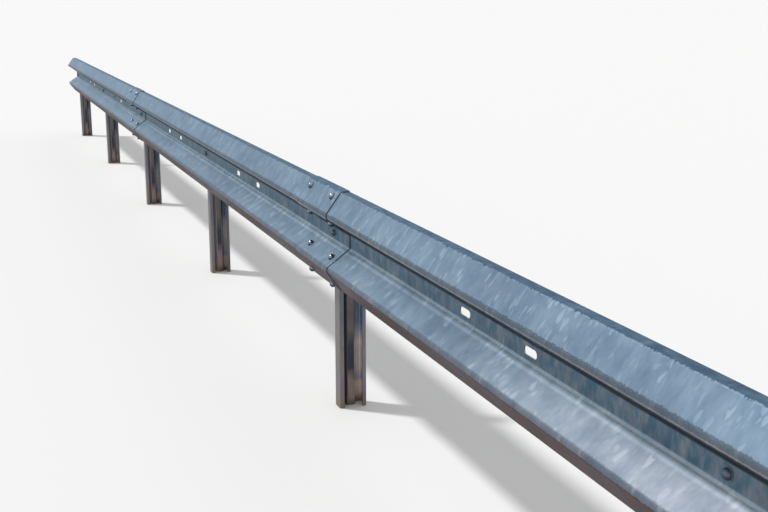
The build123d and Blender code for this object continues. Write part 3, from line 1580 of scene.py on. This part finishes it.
@dataclass(frozen=True)
class RoadCamera:
    """The photograph's camera: over the road, looking along the rail and down on it.

    Attributes:
        place: Its place in the rail's frame.
        turn: Degrees that it is turned left from looking straight across the rail.
        tilt: Degrees that it looks down.
        lens: Focal length.
        sensor: Width of the sensor that the focal length goes with.
        view_end: Distance up to which it sees.
    """

    place: tuple[float, float, float] = (5.3449, -1.1547, 1.3465)
    turn: float = 69.144
    tilt: float = 13.194
    lens: float = 51.80
    sensor: float = 36.0
    view_end: float = 200.0

    def build(self) -> bpy.types.Object:
        """Adds the camera and makes it the scene's own.

        Returns:
            The camera.
        """
        data = bpy.data.cameras.new("road_camera")
        data.lens = self.lens
        data.sensor_width = self.sensor
        data.clip_end = self.view_end
        camera = bpy.data.objects.new("road_camera", data)
        camera.location = self.place
        camera.rotation_euler = (math.radians(90.0 - self.tilt), 0.0, math.radians(self.turn))
        bpy.context.scene.collection.objects.link(camera)
        bpy.context.scene.camera = camera
        return camera


@dataclass(frozen=True)
class Studio:
    """A plain pale floor, a soft overhead sun and a white surround.

    Attributes:
        floor: Colour of the floor.
        floor_size: Side of the floor.
        floor_roughness: Its roughness.
        floor_gloss: Its specular level.
        fill: Strength of the surround's light.
        white: Brightness of the surround where it is seen, which is the lit floor's.
        sun: Strength of the sun.
        softness: Width of the sun's disc in degrees.
        sun_tilt: Degrees of the sun from the zenith, towards the road.
        sun_turn: Degrees that it is turned about the vertical, below zero towards the -X end.
    """

    floor: Color = (0.95, 0.95, 0.947)
    floor_size: float = 600.0
    floor_roughness: float = 0.95
    floor_gloss: float = 0.1
    fill: float = 0.53
    white: float = 0.945
    sun: float = 1.8
    softness: float = 5.0
    sun_tilt: float = 36.6
    sun_turn: float = -38.8

    def build(self) -> None:
        """Adds the floor, the sun and the world."""
        bpy.context.scene.view_settings.view_transform = "Standard"
        self.build_floor()
        self.build_sun()
        self.build_world()

    def build_floor(self) -> None:
        """Adds the floor, which isn't part of the object."""
        half = self.floor_size / 2
        mesh = bpy.data.meshes.new("floor")
        rim = [(-half, -half, 0), (half, -half, 0), (half, half, 0), (-half, half, 0)]
        mesh.from_pydata(rim, [], [(0, 1, 2, 3)])
        floor = bpy.data.objects.new("floor", mesh)
        material = bpy.data.materials.new("floor_paint")
        material.use_nodes = True
        shader = material.node_tree.nodes["Principled BSDF"]
        shader.inputs["Base Color"].default_value = (*self.floor, 1.0)
        shader.inputs["Roughness"].default_value = self.floor_roughness
        shader.inputs["Specular IOR Level"].default_value = self.floor_gloss
        mesh.materials.append(material)
        bpy.context.scene.collection.objects.link(floor)

    def build_sun(self) -> None:
        """Adds the soft sun on the road side."""
        data = bpy.data.lights.new("soft_sun", "SUN")
        data.energy = self.sun
        data.angle = math.radians(self.softness)
        sun = bpy.data.objects.new("soft_sun", data)
        sun.rotation_euler = (math.radians(self.sun_tilt), 0.0, math.radians(self.sun_turn))
        bpy.context.scene.collection.objects.link(sun)

    def build_world(self) -> None:
        """Makes the surround white where it is seen or mirrored, and softer as light."""
        world = bpy.data.worlds.new("surround")
        bpy.context.scene.world = world
        world.use_nodes = True
        graph = Graph(world.node_tree)
        world.node_tree.nodes.clear()
        path = graph.node("ShaderNodeLightPath").outputs
        mirrored = graph.math("MAXIMUM", path["Is Glossy Ray"], path["Is Transmission Ray"])
        seen = graph.math("MAXIMUM", path["Is Camera Ray"], mirrored)
        strength = graph.add(self.fill, graph.product(seen, self.white - self.fill))
        white = graph.node("ShaderNodeBackground", {"Color": (1.0, 1.0, 1.0, 1.0), "Strength": strength})
        graph.node("ShaderNodeOutputWorld", {"Surface": white.outputs[0]})


# The colours under the heads are painted reflections of the dark ground
BRIGHT_ZINC = BoltFinish(
    name="bright_zinc", pale=srgb(150, 160, 176), deep=srgb(112, 122, 138), collar=srgb(108, 124, 138),
    ground_reflection=srgb(44, 48, 58), metallic=1.0, roughness=0.20,
)
DULL_ZINC = BoltFinish(
    name="dull_zinc", pale=srgb(112, 126, 140), deep=srgb(92, 106, 122), collar=srgb(100, 116, 130),
    ground_reflection=srgb(62, 75, 90), metallic=0.55, roughness=0.50,
)


def main() -> None:
    """Builds the rail's finish and fasteners, the camera and the studio."""
    logging.basicConfig(level=logging.INFO, format="%(name)s: %(message)s")
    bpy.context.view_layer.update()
    nodes = sorted(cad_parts)
    rail = Rail(
        beams=[name for name in nodes if name.startswith("beam_")],
        posts=[name for name in nodes if name.startswith("post_")],
    )
    rail.dress(BeamFinish(), PostFinish())
    splice_pieces = SpliceBolts(rail, BRIGHT_ZINC.material()).build()
    post_pieces = PostBolts(rail, DULL_ZINC.material()).build()
    RoadCamera().build()
    Studio().build()
    log.info("%d pieces beside %d nodes", len(splice_pieces + post_pieces), len(nodes))


if __name__ == "__main__":
    main()
